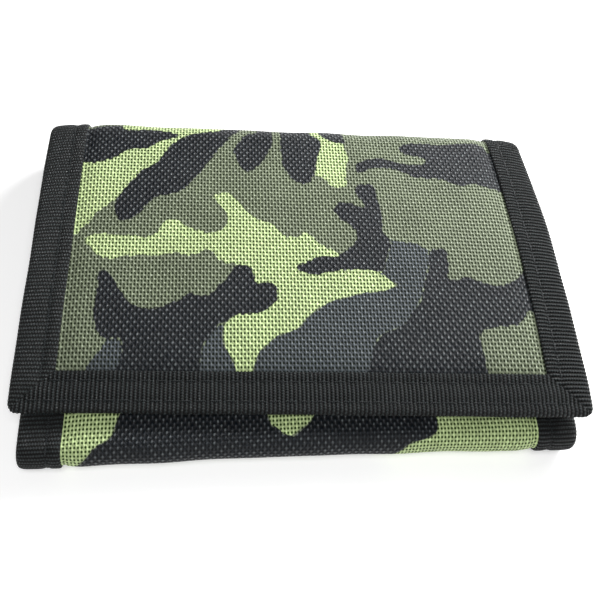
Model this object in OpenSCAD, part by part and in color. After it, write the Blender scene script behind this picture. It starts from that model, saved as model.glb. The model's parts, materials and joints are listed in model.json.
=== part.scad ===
// Trifold wallet, closed, lying on its back panel.
// +X runs along the folds, +Y towards the top fold, +Z up.
// The origin is under the middle of the closed wallet, on the surface it lies on.
//
// One long piece of woven cloth makes the back panel, the flap folded over from the
// top and the inner panel folded up from the bottom. Each fold is a half-round spine.
// Depths below are counted from the outer face of the edge tape towards the inside.

/* [Wallet] */
// Width along the folds
wallet_w = 127; // [112:1:140]
// Depth from fold to fold, closed
wallet_d = 89; // [86:1:96]
// Height over the top fold
top_fold_h = 14.5; // [14.5:0.5:16]
// Height over the bottom fold
bottom_fold_h = 8.5; // [8.4:0.1:8.6]

/* [Panels] */
// How far the flap's free edge stays behind the bottom fold
flap_setback = 8; // [4:0.5:12]
// Slope of the flap down towards its free edge, in degrees
flap_droop = 1.8; // [1:0.1:1.8]
// Reach of the inner panel from the bottom fold
inner_reach = 64.5; // [62:0.5:66]
// How much narrower the inner panel is on each side
inner_inset = 1; // [0.5:0.5:2]

/* [Cloth] */
// Thickness of the woven outer cloth
shell_t = 0.9; // [0.7:0.1:0.9]
// Thickness of the lining, which is also the wall of the note compartment
lining_t = 0.6; // [0.4:0.1:0.6]
// Thickness of the ribbed edge tape
tape_t = 0.5; // [0.3:0.1:0.5]
// Width of the edge tape seen on each face
tape_w = 9.5; // [7:0.5:11]
// Width of the narrow tape along the note compartment's mouth
mouth_tape_w = 5; // [4:0.5:6]

/* [Fastening] */
// Thickness of the hook strip under the flap
hook_t = 1; // [0.6:0.1:1]
// Thickness of the loop strip on the inner panel
loop_t = 1; // [0.6:0.1:1]
// Width of both strips, across the wallet's depth
strip_w = 16; // [12:1:18]
// Length of both strips, along the folds
strip_len = 90; // [70:5:96]

/* [Coin pocket] */
// Place of the zip's centre line in front of the inner panel's free edge
zip_from_edge = 15; // [14:0.5:16]
// Length of the zip's opening
zip_len = 92; // [80:1:96]
// Width of the zip's opening
zip_w = 8; // [7:0.5:9]
// Thickness of the coin bag
bag_t = 1.2; // [1.1:0.1:1.2]
// Length of the zip's pull tab
pull_len = 15; // [12:1:15]

/* [Card slots and window] */
// Number of card slots on the inner panel
// Width of a card slot
slot_w = 96; // [90:1:98]
// Step from one card slot's mouth to the next
slot_step = 11; // [9:1:12]
// Width of the window pocket on the back panel
window_w = 100; // [94:1:104]
// Depth of the window pocket
window_d = 62; // [56:1:64]
// Width of the cloth frame round the window
window_rim = 8; // [6:1:10]

/* [Hidden] */
$fn = 96;

// Folds: half-round, one centre line each
top_r = top_fold_h / 2;
bottom_r = bottom_fold_h / 2;
top_y = wallet_d / 2 - top_r;
bottom_y = bottom_r - wallet_d / 2;
// Each fold turns about two lines on its outer face, where the spine meets a panel
fold_cut = 45;
cut_gap = 0.3;
cloth_mid = tape_t + shell_t;
top_gap = (cut_gap / 2) / (top_r - cloth_mid) * 180 / PI;
bottom_gap = (cut_gap / 2) / (bottom_r - cloth_mid) * 180 / PI;
flap_line_y = top_y + top_r * sin(fold_cut);
flap_line_z = top_r + top_r * cos(fold_cut);

// Free edges
flap_y = flap_setback - wallet_d / 2;
inner_y = inner_reach - wallet_d / 2;

// Depths of the layers
core_t = shell_t + lining_t;
inner_core_t = shell_t + bag_t + lining_t;
mouth_tape_t = 0.4;
mouth_clear = 1;
sheet_t = 0.4;
slot_tape_t = 0.2;
slot_tape_w = 5;
seam_w = 2;

// Zip
zip_y = inner_y - zip_from_edge;
zip_tape_t = 0.6;
zip_tape_w = 9;
zip_split = 0.8;
coil_r = 0.55;
coil_z = bottom_fold_h - tape_t - shell_t + coil_r;
slider_l = 8;
slider_w = 6;
slider_plate_t = 0.6;
slider_clear = 0.15;
slider_x = zip_len / 2 - slider_l / 2 - 2;
plate_z = coil_z + coil_r + slider_clear;
bail_r = 0.4;
bail_gap = 0.1;
bail_z = plate_z + slider_plate_t + 0.95;
bail_len = 4;
pull_w = 5;
pull_t = 0.8;
pull_ring_r = 0.85;
pull_tilt = 3;

function half_w(part) = wallet_w / 2 - (part == "inner" || part == "bottom_spine" ? inner_inset : 0);
function core_of(part) = part == "inner" ? inner_core_t : core_t;

// A band of a ring, from one angle to another: 0 points down, 90 outwards, 180 up
module sector(r, t, from, to) {
    intersection() {
        difference() {
            circle(r);
            circle(r - t);
        }
        polygon([[0, 0], for (k = [0:2]) 2 * r * [sin(from + (to - from) * k / 2), -cos(from + (to - from) * k / 2)]]);
    }
}

module top_arc(depth, t, from, to) {
    translate([top_y, top_r]) sector(top_r - depth, t, from, to);
}

module bottom_arc(depth, t, from, to) {
    translate([bottom_y, bottom_r]) mirror([1, 0]) sector(bottom_r - depth, t, from, to);
}

module flat(y0, y1, z, t) {
    translate([y0, z]) square([y1 - y0, t]);
}

// Side profile of one layer of one part of the wallet, at a depth and of a thickness.
// over carries it on past the part's ends, in degrees at a fold and in mm at a free edge
module layer(part, depth, t, inset = 0, over = 0) {
    top_low = fold_cut - top_gap + over;
    bottom_low = fold_cut - bottom_gap + over;
    if (part == "back") {
        flat(bottom_y, top_y, depth, t);
        top_arc(depth, t, 0, top_low);
        bottom_arc(depth, t, 0, bottom_low);
    }
    if (part == "top_spine") {
        top_arc(depth, t, fold_cut + top_gap - over, 180 - fold_cut - top_gap + over);
    }
    if (part == "flap") {
        flat(flap_y + inset - over, top_y, top_fold_h - depth - t, t);
        top_arc(depth, t, 180 - top_low, 180);
    }
    if (part == "bottom_spine") {
        bottom_arc(depth, t, fold_cut + bottom_gap - over, 180 - fold_cut - bottom_gap + over);
    }
    if (part == "inner") {
        flat(bottom_y, inner_y - inset + over, bottom_fold_h - depth - t, t);
        bottom_arc(depth, t, 180 - bottom_low, 180);
    }
}

// Drags a side profile across the wallet
module across(x0, x1) {
    translate([x0, 0, 0]) rotate([90, 0, 90]) linear_extrude(x1 - x0) children();
}

// The flap slopes down from its fold line
module placed(part) {
    if (part == "flap") {
        translate([0, flap_line_y, flap_line_z]) rotate([flap_droop, 0, 0])
            translate([0, -flap_line_y, -flap_line_z]) children();
    } else {
        children();
    }
}

module block(x0, x1, y0, y1, z0, z1) {
    translate([x0, y0, z0]) cube([x1 - x0, y1 - y0, z1 - z0]);
}

// Outer cloth of one part, between the tape's side walls
module shell(part) {
    color("#3d4236") placed(part) across(tape_t - half_w(part), half_w(part) - tape_t)
        layer(part, tape_t, shell_t, tape_t);
}

// Lining, short of the right edge, where the note compartment opens
function mouth_x(part) = half_w(part) - tape_w - mouth_clear;

module lining(part) {
    color("#191a1c") placed(part) across(tape_t - half_w(part), mouth_x(part))
        layer(part, tape_t + core_of(part) - lining_t, lining_t, tape_t);
}

module mouth_tape(part) {
    inset = part == "flap" || part == "inner" ? tape_w : 0;
    color("#141416") placed(part) across(mouth_x(part) - mouth_tape_w, mouth_x(part))
        layer(part, tape_t + core_of(part), mouth_tape_t, inset);
}

// Tape folded over a side edge. The left one holds cloth and lining, the right one cloth only
past = 2;
module side_binding(part, side) {
    held = side < 0 ? core_of(part) : shell_t;
    inset = part == "flap" || part == "inner" ? tape_w : 0;
    outer_x = half_w(part);
    inner_x = outer_x - tape_w;
    color("#101012") placed(part) mirror([side < 0 ? 1 : 0, 0, 0]) difference() {
        across(inner_x, outer_x) layer(part, 0, held + 2 * tape_t, inset);
        across(inner_x - past, outer_x - tape_t) layer(part, tape_t, held, inset, past);
    }
}

// Tape folded over a free end, across the full width
module end_binding(part, y_edge, y_in, z_top) {
    toward_cloth = sign(y_in - y_edge);
    y_wall = y_edge + toward_cloth * tape_t;
    y_mouth = y_in + toward_cloth * past;
    total = core_of(part) + 2 * tape_t;
    color("#101012") placed(part) difference() {
        across(-half_w(part), half_w(part))
            flat(min(y_edge, y_in), max(y_edge, y_in), z_top - total, total);
        across(-half_w(part) - past, half_w(part) + past)
            flat(min(y_wall, y_mouth), max(y_wall, y_mouth), z_top - total + tape_t, core_of(part));
    }
}

module back_shell() { shell("back"); }
module back_lining() { lining("back"); }
module back_binding_left() { side_binding("back", -1); }
module back_binding_right() { side_binding("back", 1); }
module back_mouth_tape() { mouth_tape("back"); }

module top_spine_shell() { shell("top_spine"); }
module top_spine_lining() { lining("top_spine"); }
module top_spine_binding_left() { side_binding("top_spine", -1); }
module top_spine_binding_right() { side_binding("top_spine", 1); }
module top_spine_mouth_tape() { mouth_tape("top_spine"); }

module flap_shell() { shell("flap"); }
module flap_lining() { lining("flap"); }
module flap_binding_left() { side_binding("flap", -1); }
module flap_binding_right() { side_binding("flap", 1); }
module flap_binding_front() { end_binding("flap", flap_y, flap_y + tape_w, top_fold_h); }
module flap_mouth_tape() { mouth_tape("flap"); }

module bottom_spine_shell() { shell("bottom_spine"); }
module bottom_spine_lining() { lining("bottom_spine"); }
module bottom_spine_binding_left() { side_binding("bottom_spine", -1); }
module bottom_spine_binding_right() { side_binding("bottom_spine", 1); }
module bottom_spine_mouth_tape() { mouth_tape("bottom_spine"); }

module inner_lining() { lining("inner"); }
module inner_binding_left() { side_binding("inner", -1); }
module inner_binding_right() { side_binding("inner", 1); }
module inner_binding_end() { end_binding("inner", inner_y, inner_y - tape_w, bottom_fold_h); }
module inner_mouth_tape() { mouth_tape("inner"); }

// Outer cloth of the inner panel, with the zip's opening cut in it
module inner_shell() {
    color("#3d4236") difference() {
        shell("inner");
        block(-zip_len / 2, zip_len / 2, zip_y - zip_w / 2, zip_y + zip_w / 2, 0, bottom_fold_h + 1);
    }
}

// Window pocket on the inside of the back panel, left of the note compartment's mouth
window_x = -3;
window_y = -1;
window_z = tape_t + core_t;

module window_pocket_frame() {
    rim_x = window_w / 2 - window_rim;
    rim_y = window_d / 2 - window_rim;
    color("#17181a") difference() {
        block(window_x - window_w / 2, window_x + window_w / 2, window_y - window_d / 2, window_y + window_d / 2,
            window_z + sheet_t, window_z + 2 * sheet_t);
        block(window_x - rim_x, window_x + rim_x, window_y - rim_y, window_y + rim_y, window_z, window_z + 2);
    }
}

module window_pane() {
    color([0.85, 0.9, 0.92, 0.4])
        block(window_x - window_w / 2 + seam_w, window_x + window_w / 2 - seam_w,
            window_y - window_d / 2 + seam_w, window_y + window_d / 2 - seam_w, window_z, window_z + sheet_t);
}

// Hook strip under the flap, against its lining
hook_y = flap_y + tape_w + 1;
module hook_strip() {
    hook_z = top_fold_h - tape_t - core_t;
    color("#0c0c0e") placed("flap")
        block(-strip_len / 2, strip_len / 2, hook_y, hook_y + strip_w, hook_z - hook_t, hook_z);
}

// Loop strip on the outside of the inner panel, under the hook strip
module loop_strip() {
    loop_z = bottom_fold_h - tape_t;
    color("#202023") block(-strip_len / 2, strip_len / 2, hook_y, hook_y + strip_w, loop_z, loop_z + loop_t);
}

// Coin bag between the inner panel's cloth and lining; the zip tapes are let into its front
bag_z = bottom_fold_h - tape_t - shell_t - bag_t;
bag_side = 52;
module coin_bag() {
    color("#26282b") difference() {
        block(-bag_side, bag_side, bottom_y + 8, inner_y - tape_w - 0.5, bag_z, bag_z + bag_t);
        block(-bag_side - 1, bag_side + 1, zip_y - zip_tape_w, zip_y + zip_tape_w, bag_z + bag_t - zip_tape_t, bag_z + 2);
    }
}

module zip_tape(side) {
    near = zip_y + side * zip_split;
    far = zip_y + side * min(zip_tape_w, inner_y - tape_w - 0.5 - zip_y);
    color("#1b1b1e") block(-bag_side, bag_side, min(near, far), max(near, far),
        bag_z + bag_t - zip_tape_t, bag_z + bag_t);
}

module zip_tape_front() { zip_tape(-1); }
module zip_tape_back() { zip_tape(1); }

// The two closed rows of the zip's coil
module zip_coils() {
    color("#101012") for (side = [-1, 1])
        translate([-zip_len / 2, zip_y + side * coil_r, coil_z]) rotate([0, 90, 0]) cylinder(r = coil_r, h = zip_len);
}

// Stops beside the coil's two ends, on the tapes
module zip_stops() {
    color("#8a8c90") for (side = [-1, 1]) for (end = [-1, 1])
        translate([end * (zip_len / 2 - 1), zip_y + side * 2, coil_z - coil_r]) cylinder(r = 0.6, h = 0.9);
}

// Card slots on the inside of the inner panel, each mouth a step behind the last
slot_z = bottom_fold_h - tape_t - inner_core_t;
function slot_mouth(k) = bottom_y + 9 + k * slot_step;
slot_x = -3;
module card_slot(k) {
    color("#17181a") block(slot_x - slot_w / 2, slot_x + slot_w / 2, slot_mouth(k), inner_y - tape_w,
        slot_z - (k + 1) * sheet_t, slot_z - k * sheet_t);
}

module card_slot_tape(k) {
    z = slot_z - (k + 1) * sheet_t;
    color("#0e0e10") block(slot_x - slot_w / 2, slot_x + slot_w / 2, slot_mouth(k), slot_mouth(k) + slot_tape_w,
        z - slot_tape_t, z);
}

module card_slot_1() { card_slot(0); }
module card_slot_2() { card_slot(1); }
module card_slot_3() { card_slot(2); }
module card_slot_tape_1() { card_slot_tape(0); }
module card_slot_tape_2() { card_slot_tape(1); }
module card_slot_tape_3() { card_slot_tape(2); }

// Slider: a plate over the coils with two flanges beside them, and the bail on top
module zip_slider() {
    flange_z = coil_z - coil_r + 0.2;
    color("#9a9ca0") {
        block(slider_x - slider_l / 2, slider_x + slider_l / 2, zip_y - slider_w / 2, zip_y + slider_w / 2,
            plate_z, plate_z + slider_plate_t);
        for (side = [-1, 1]) {
            translate([slider_x - slider_l / 2, zip_y + side * (slider_w / 2 - 0.3) - 0.3, flange_z])
                cube([slider_l, 0.6, plate_z - flange_z + slider_plate_t / 2]);
            translate([slider_x - 0.6, zip_y + side * bail_len / 2 - 0.3, plate_z + slider_plate_t / 2])
                cube([1.2, 0.6, bail_z + bail_r - plate_z - slider_plate_t / 2]);
        }
        translate([slider_x, zip_y - bail_len / 2, bail_z]) rotate([-90, 0, 0]) cylinder(r = bail_r, h = bail_len);
    }
}

// Pull tab, a plate with a round eye on the bail and a round free end
module zip_pull() {
    eye_w = bail_len - 1.2;
    color("#a2a4a8") translate([slider_x, zip_y, bail_z]) rotate([0, -pull_tilt, 0]) difference() {
        union() {
            translate([0, -eye_w / 2, 0]) rotate([-90, 0, 0]) cylinder(r = pull_ring_r, h = eye_w);
            translate([-5, -eye_w / 2, -pull_t / 2]) cube([5, eye_w, pull_t]);
            translate([-pull_len + pull_w / 2, -pull_w / 2, -pull_t / 2])
                cube([pull_len - pull_w / 2 - 4.5, pull_w, pull_t]);
            translate([-pull_len + pull_w / 2, 0, -pull_t / 2]) cylinder(d = pull_w, h = pull_t);
        }
        translate([0, -pull_w, 0]) rotate([-90, 0, 0]) cylinder(r = bail_r + bail_gap, h = 2 * pull_w);
    }
}

back_shell();
back_lining();
back_binding_left();
back_binding_right();
back_mouth_tape();
window_pocket_frame();
window_pane();
top_spine_shell();
top_spine_lining();
top_spine_binding_left();
top_spine_binding_right();
top_spine_mouth_tape();
flap_shell();
flap_lining();
flap_binding_left();
flap_binding_right();
flap_binding_front();
flap_mouth_tape();
hook_strip();
bottom_spine_shell();
bottom_spine_lining();
bottom_spine_binding_left();
bottom_spine_binding_right();
bottom_spine_mouth_tape();
inner_shell();
inner_lining();
inner_binding_left();
inner_binding_right();
inner_binding_end();
inner_mouth_tape();
loop_strip();
coin_bag();
zip_tape_front();
zip_tape_back();
zip_coils();
zip_stops();
card_slot_1();
card_slot_2();
card_slot_3();
card_slot_tape_1();
card_slot_tape_2();
card_slot_tape_3();
zip_slider();
zip_pull();
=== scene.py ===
import bmesh
import bpy
import numpy as np
from mathutils import Matrix, Vector
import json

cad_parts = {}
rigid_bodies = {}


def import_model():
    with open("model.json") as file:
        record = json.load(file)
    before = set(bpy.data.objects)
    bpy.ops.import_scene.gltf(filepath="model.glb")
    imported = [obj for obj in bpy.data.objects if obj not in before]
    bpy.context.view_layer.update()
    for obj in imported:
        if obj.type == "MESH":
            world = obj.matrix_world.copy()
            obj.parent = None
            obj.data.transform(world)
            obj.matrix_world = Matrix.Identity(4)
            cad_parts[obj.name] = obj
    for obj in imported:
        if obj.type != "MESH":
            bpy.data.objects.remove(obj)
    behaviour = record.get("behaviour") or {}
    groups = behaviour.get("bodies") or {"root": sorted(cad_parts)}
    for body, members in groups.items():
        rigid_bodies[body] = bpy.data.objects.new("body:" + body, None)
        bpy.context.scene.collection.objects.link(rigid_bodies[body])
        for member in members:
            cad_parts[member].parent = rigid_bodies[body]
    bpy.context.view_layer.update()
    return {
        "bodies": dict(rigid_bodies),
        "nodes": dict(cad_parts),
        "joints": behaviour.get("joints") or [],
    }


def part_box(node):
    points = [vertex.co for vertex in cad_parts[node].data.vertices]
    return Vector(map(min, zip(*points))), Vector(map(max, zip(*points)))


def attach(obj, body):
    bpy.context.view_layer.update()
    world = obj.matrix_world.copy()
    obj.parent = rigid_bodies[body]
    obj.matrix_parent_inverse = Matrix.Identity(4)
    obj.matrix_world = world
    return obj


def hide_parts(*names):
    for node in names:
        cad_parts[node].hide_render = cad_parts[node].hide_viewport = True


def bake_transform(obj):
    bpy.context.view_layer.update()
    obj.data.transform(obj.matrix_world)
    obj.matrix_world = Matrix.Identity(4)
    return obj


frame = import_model()
nodes = frame["nodes"]
MM = 0.001
rng = np.random.default_rng(11)


# ---------------------------------------------------------------- frame sizes
def mm_box(node):
    low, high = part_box(node)
    return np.array(low) / MM, np.array(high) / MM


joint = {j["name"]: j for j in frame["joints"]}


def fold_of(lower, upper):
    """Radius of a fold and the y of its centre, from its two hinge lines."""
    a, b = joint[lower]["pos_m"], joint[upper]["pos_m"]
    r = (a[2] + b[2]) / 2 / MM
    side = 1 if a[1] > 0 else -1
    return r, a[1] / MM - side * r * np.sin(np.pi / 4)


R1, Y1 = fold_of("top_fold_lower", "top_fold_upper")
R2, Y2 = fold_of("bottom_fold_lower", "bottom_fold_upper")
FRONT_Y = mm_box("flap_binding_front")[0][1]
INNER_Y = mm_box("inner_binding_end")[1][1]
TAPE_W = 9.5

# Lengths along the outer face, from the flap's free edge round both folds.
LF = 74.6
CAMBER = 1.8
S_TOP = LF + 0.5 * np.pi * R1
S_BACK = LF + np.pi * R1 - 0.5
S_MID = S_BACK + Y1
S_LOW = S_BACK + (Y1 - Y2)
S_BOT = S_LOW + 0.5 * np.pi * R2
S_INNER = S_LOW + np.pi * R2
S_END = S_INNER + (INNER_Y - Y2)


def half_width(s):
    return np.interp(s, [0, LF, S_BACK, S_MID, S_LOW, S_INNER, S_END], [65.6, 63.1, 63.4, 63.6, 63.5, 63.2, 62.6])


def outer(x, s):
    """Place and outward normal (y, z, ny, nz) of the outer face at width x and length s, in mm."""
    x, s = np.broadcast_arrays(np.asarray(x, float), np.asarray(s, float))
    u = np.clip(x / 62.5, -1.1, 1.1)
    pinch = np.clip((np.abs(x) - 53) / 10, 0, 1.3) ** 2
    top = 2 * R1 - 0.2 - np.where(u < 0, 1.2, 0.9) * u - 0.3 * pinch
    r = top / 2
    yc = Y1 + R1 + 0.25 - r - np.where(u < 0, 1.6 + 0.3 * u, 1.4 - 0.2 * u) * pinch
    y_f = FRONT_Y - 1.1 - np.where(u < 0, 1.5, 2.0) * u
    z_f = 11.9 + np.where(u < 0, 1.2, 1.9) * u
    span = np.hypot(yc - y_f, top - z_f)
    beta = 4 * CAMBER / span + np.arctan2(z_f - top, yc - y_f)
    y_a, z_a = yc + r * np.sin(beta), r + r * np.cos(beta)
    t = 1 - s / LF
    dy, dz = y_f - y_a, z_f - z_a
    length = np.hypot(dy, dz)
    ny, nz = dz / length, -dy / length
    bump = 4 * CAMBER * t * (1 - t)
    slope = 4 * CAMBER * (1 - 2 * t) / length
    flap_y, flap_z = y_a + dy * t + ny * bump, z_a + dz * t + nz * bump
    fny, fnz = ny - slope * dy / length, nz - slope * dz / length
    norm = np.hypot(fny, fnz)
    fny, fnz = fny / norm, fnz / norm
    phi = (np.pi / 2 - beta) - (s - LF) / (S_BACK - LF) * (np.pi - beta)
    arc_y, arc_z = yc + r * np.cos(phi), r + r * np.sin(phi)
    rb = R2 + 0.3 * u
    yb = Y2 - 0.2 + np.where(u < 0, 1.9, 0.35) * u + (rb - R2)
    f = (s - S_BACK) / (S_LOW - S_BACK)
    back_y = yc + (yb - yc) * f
    phi2 = -np.pi / 2 - np.pi * (s - S_LOW) / (S_INNER - S_LOW)
    low_y, low_z = yb + rb * np.cos(phi2), rb + rb * np.sin(phi2)
    g = (s - S_INNER) / (S_END - S_INNER)
    in_y, in_z = yb + (INNER_Y - yb) * g, 2 * rb + 0 * s
    pick = [s <= LF, s <= S_BACK, s <= S_LOW, s <= S_INNER]
    y = np.select(pick, [flap_y, arc_y, back_y, low_y], in_y)
    z = np.select(pick, [flap_z, arc_z, 0 * s, low_z], in_z)
    ny = np.select(pick, [fny, np.cos(phi), 0 * s, np.cos(phi2)], 0 * s)
    nz = np.select(pick, [fnz, np.sin(phi), 0 * s - 1, np.sin(phi2)], 0 * s + 1)
    return y, z, ny, nz


def sway(x, s):
    """Slight unevenness of the sewn layers, in mm, shared by all of them."""
    on_floor = np.interp(s, [S_BACK - 8, S_BACK, S_LOW, S_LOW + 6], [1, 0, 0, 1])
    return on_floor * (0.13 * np.sin(x / 8.3 + 0.7) * np.sin(s / 9.7 + 1.1) + 0.09 * np.sin(x / 4.1 - s / 6.3)
                       + 0.06 * np.sin(x / 2.9 + s / 3.7 + 2.0))


CORNER = 2.3


def place(x, s, depth):
    """Points at a depth below the outer face, in mm, with the four free corners rounded."""
    x, s, depth = np.broadcast_arrays(np.asarray(x, float), np.asarray(s, float), np.asarray(depth, float))
    over_x = np.abs(x) - (half_width(s) - CORNER)
    for over_s, way in ((CORNER - s, -1), (s - (S_END - CORNER), 1)):
        corner = (over_x > 0) & (over_s > 0)
        far = np.hypot(over_x, over_s)
        pull = np.where(corner & (far > 0), np.maximum(over_x, over_s) / np.maximum(far, 1e-6) - 1, 0)
        x, s = x + np.sign(x) * over_x * pull, s + way * over_s * pull
    t = np.clip(s / LF, 0, 1)
    x = x + np.where(x > 0, 3.4, 1.2) * t * (1 - t) * (x / 62.5) ** 2
    y, z, ny, nz = outer(x, s)
    d = depth - sway(x, s)
    return np.stack([x, y - ny * d, z - nz * d], -1)


# ---------------------------------------------------------------- meshes
def make(name, points, faces, material, attributes=None, smooth=True, angle=0.7):
    mesh = bpy.data.meshes.new(name)
    mesh.from_pydata((np.asarray(points) * MM).tolist(), [], faces)
    for key, value in (attributes or {}).items():
        value = np.asarray(value, np.float32)
        if value.ndim == 1:
            mesh.attributes.new(key, "FLOAT", "POINT").data.foreach_set("value", value)
        else:
            mesh.attributes.new(key, "FLOAT_VECTOR", "POINT").data.foreach_set("vector", value.ravel())
    mesh.validate()
    mesh.polygons.foreach_set("use_smooth", [smooth] * len(mesh.polygons))
    if smooth:
        mesh.set_sharp_from_angle(angle=angle)
    mesh.materials.append(material)
    obj = bpy.data.objects.new(name, mesh)
    bpy.context.scene.collection.objects.link(obj)
    return obj


def quads(m, n, base=0, flip=False, wrap=False):
    i, j = np.meshgrid(np.arange(m - 1), np.arange(n if wrap else n - 1), indexing="ij")
    k = (j + 1) % n
    f = np.stack([i * n + j, i * n + k, (i + 1) * n + k, (i + 1) * n + j], -1).reshape(-1, 4) + base
    return (f[:, ::-1] if flip else f).tolist()


def slab(top, bottom, hole=None):
    """A thin solid between two grids (m, n, 3).
    hole is (row, row, column, column) of an opening through it."""
    m, n = top.shape[:2]
    points = np.concatenate([top.reshape(-1, 3), bottom.reshape(-1, 3)])
    half = m * n
    index = np.arange(half).reshape(m, n)
    faces = quads(m, n)
    if hole:
        r0, r1, c0, c1 = hole
        keep = np.ones((m - 1, n - 1), bool)
        keep[r0:r1, c0:c1] = False
        faces = [f for f, k in zip(faces, keep.ravel()) if k]
    faces += [[v + half for v in f[::-1]] for f in faces]
    if hole:
        loop = [*index[r0, c0:c1], *index[r0:r1, c1], *index[r1, c1:c0:-1], *index[r1:r0:-1, c0]]
        faces += [[int(a), int(b), int(b) + half, int(a) + half] for a, b in zip(loop, loop[1:] + loop[:1])]
    for edge, turn in ((index[0], 1), (index[-1], 0), (index[:, 0], 0), (index[:, -1], 1)):
        a, b = edge[:-1], edge[1:]
        faces += np.stack([a, a + half, b + half, b] if turn else [a, b, b + half, a + half], -1).tolist()
    return points, faces


def sweep(points, ends=(True, True)):
    """A closed band of rings (m, k, 3), with its doubled points merged."""
    m, k = points.shape[:2]
    flat = points.reshape(-1, 3)
    _, first, inverse = np.unique(np.round(flat, 4), axis=0, return_index=True, return_inverse=True)
    inverse = inverse.ravel()
    faces = []
    for f in quads(m, k, wrap=True):
        g = []
        for v in inverse[f]:
            if not g or g[-1] != v:
                g.append(int(v))
        if len(g) > 1 and g[0] == g[-1]:
            g.pop()
        if len(g) > 2 and len(set(g)) == len(g):
            faces.append(g)
    for shut, ring in ((ends[0], range(k - 1, -1, -1)), (ends[1], range((m - 1) * k, m * k))):
        if shut:
            g = list(dict.fromkeys(int(inverse[v]) for v in ring))
            if len(g) > 2:
                faces.append(g)
    return flat[first], faces, first


# ---------------------------------------------------------------- materials
class Nodes:
    def __init__(self, name):
        self.material = bpy.data.materials.new(name)
        self.material.use_nodes = True
        self.tree = self.material.node_tree
        self.bsdf = self.tree.nodes["Principled BSDF"]

    def set(self, **values):
        for key, value in values.items():
            self.bsdf.inputs[key.replace("_", " ")].default_value = value
        return self

    def add(self, kind, inputs=(), out=0, **settings):
        node = self.tree.nodes.new(kind)
        for key, value in settings.items():
            setattr(node, key, value)
        for key, value in (inputs.items() if isinstance(inputs, dict) else enumerate(inputs)):
            if value is None:
                continue
            if isinstance(value, bpy.types.NodeSocket):
                self.tree.links.new(value, node.inputs[key])
            else:
                node.inputs[key].default_value = value
        return node.outputs[out]

    def math(self, op, *values):
        return self.add("ShaderNodeMath", values, operation=op)

    def attribute(self, name, out="Vector"):
        return self.add("ShaderNodeAttribute", out=out, attribute_name=name)

    def split(self, vector):
        node = self.tree.nodes.new("ShaderNodeSeparateXYZ")
        self.tree.links.new(vector, node.inputs[0])
        return node.outputs[0], node.outputs[1], node.outputs[2]

    def join(self, x, y, z=0.0):
        return self.add("ShaderNodeCombineXYZ", (x, y, z))

    def noise(self, vector, scale, detail=2.0, rough=0.5):
        return self.add("ShaderNodeTexNoise", {"Vector": vector, "Scale": scale, "Detail": detail, "Roughness": rough}, out="Fac")

    def white(self, vector):
        return self.add("ShaderNodeTexWhiteNoise", {"Vector": vector}, out="Value", noise_dimensions="3D")

    def span(self, value, a, b, c=0.0, d=1.0, smooth=True):
        return self.add("ShaderNodeMapRange", {"Value": value, "From Min": a, "From Max": b, "To Min": c, "To Max": d}, out="Result", interpolation_type="SMOOTHSTEP" if smooth else "LINEAR", clamp=True)

    def mix(self, fac, a, b, blend="MIX"):
        node = self.tree.nodes.new("ShaderNodeMix")
        node.data_type, node.blend_type = "RGBA", blend
        for key, value in ((0, fac), (6, a), (7, b)):
            if isinstance(value, bpy.types.NodeSocket):
                self.tree.links.new(value, node.inputs[key])
            else:
                node.inputs[key].default_value = value
        return node.outputs[2]

    def link(self, socket, name):
        self.tree.links.new(socket, self.bsdf.inputs[name])

    def bump(self, height, strength, distance, normal=None):
        return self.add("ShaderNodeBump", {"Strength": strength, "Distance": distance, "Height": height, "Normal": normal}, out="Normal")


def rgb(r, g, b):
    c = np.array([r, g, b]) / 255
    c = np.where(c <= 0.04045, c / 12.92, ((c + 0.055) / 1.055) ** 2.4)
    return (*c.tolist(), 1.0)


def woven(n, x, y, pitch_x, pitch_y):
    """Height of a plain weave, which yarn is on top, the two yarn numbers, and how far a point is in a crossing with the
    lengthwise yarn over (above 0) or under (below 0), the roundness of the lengthwise yarn, and how near a hole is."""
    u, v = n.math("DIVIDE", x, pitch_x), n.math("DIVIDE", y, pitch_y)
    i, j = n.math("ROUND", u), n.math("ROUND", v)
    a, b = n.math("SUBTRACT", u, i), n.math("SUBTRACT", v, j)

    def crown(t):
        return n.math("SQRT", n.math("MAXIMUM", n.math("SUBTRACT", 1.0, n.math("MULTIPLY", 4.0, n.math("MULTIPLY", t, t))), 0.0))

    wave_v = n.math("MULTIPLY", n.math("COSINE", n.math("MULTIPLY", v, np.pi)), n.math("COSINE", n.math("MULTIPLY", i, np.pi)))
    wave_u = n.math("MULTIPLY", n.math("COSINE", n.math("MULTIPLY", u, np.pi)), n.math("COSINE", n.math("MULTIPLY", j, np.pi)))
    warp = n.math("MULTIPLY_ADD", wave_v, 0.75, crown(a))
    weft = n.math("MULTIPLY_ADD", wave_u, -0.3, n.math("MULTIPLY", crown(b), 0.85))
    middle = n.math("MULTIPLY", n.math("COSINE", n.math("MULTIPLY", a, np.pi)), n.math("COSINE", n.math("MULTIPLY", b, np.pi)))
    even = n.math("MULTIPLY", n.math("COSINE", n.math("MULTIPLY", i, np.pi)), n.math("COSINE", n.math("MULTIPLY", j, np.pi)))
    corner = n.math("ABSOLUTE", n.math("MULTIPLY", n.math("SINE", n.math("MULTIPLY", u, np.pi)), n.math("SINE", n.math("MULTIPLY", v, np.pi))))
    return n.math("MAXIMUM", warp, weft), n.math("GREATER_THAN", warp, weft), i, j, n.math("MULTIPLY", middle, even), crown(a), corner


CLOTH_X, CLOTH_Y = 0.8, 1.0


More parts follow.
